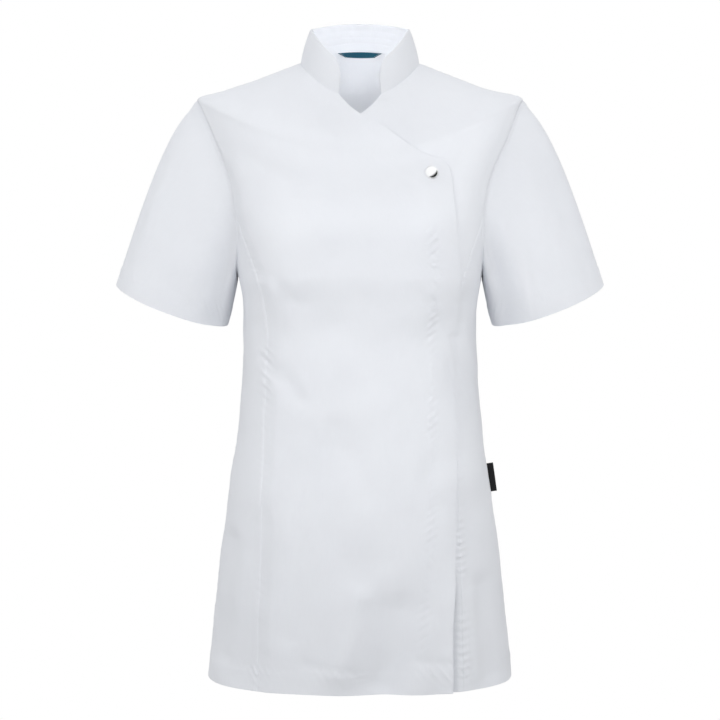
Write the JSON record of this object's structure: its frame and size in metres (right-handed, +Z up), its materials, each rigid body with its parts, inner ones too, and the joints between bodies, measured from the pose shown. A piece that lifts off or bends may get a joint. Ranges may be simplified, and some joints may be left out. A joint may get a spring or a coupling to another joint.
{
  "type": "medical tunic",
  "caption": "Short-sleeved wrap-front tunic with a stand collar, hollow and filled out as worn, closed by a press fastener.",
  "frame": {"origin": "midway between the two points where the shoulder seams meet the collar, where the shoulders of the wearer or a hanger hold the tunic", "axes": "+Z up, the front faces -Y, the wearer's left is +X"},
  "size_m": [0.5624, 0.2631, 0.7533],
  "materials": {
    "front_overlap": "white polyester cotton twill",
    "front_underlap": "white polyester cotton twill",
    "side_front_left": "white polyester cotton twill",
    "side_front_right": "white polyester cotton twill",
    "back": "white polyester cotton twill",
    "sleeve_left": "white polyester cotton twill",
    "sleeve_right": "white polyester cotton twill",
    "collar": "white polyester cotton twill, interlined",
    "back_neck_facing": "white polyester cotton twill",
    "neck_label": "teal woven ribbon",
    "side_tab": "black woven ribbon",
    "snap_cap": "polished",
    "snap_back_ring": "polished"
  },
  "bodies": {
    "root": {"front_overlap": "front_overlap", "front_underlap": "front_underlap", "side_front_left": "side_front_left", "side_front_right": "side_front_right", "back": "back", "sleeve_left": "sleeve_left", "sleeve_right": "sleeve_right", "collar": "collar", "back_neck_facing": "back_neck_facing", "neck_label": "neck_label", "side_tab": "side_tab", "snap_cap": "snap_cap", "snap_back_ring": "snap_back_ring"}
  },
  "joints": []
}
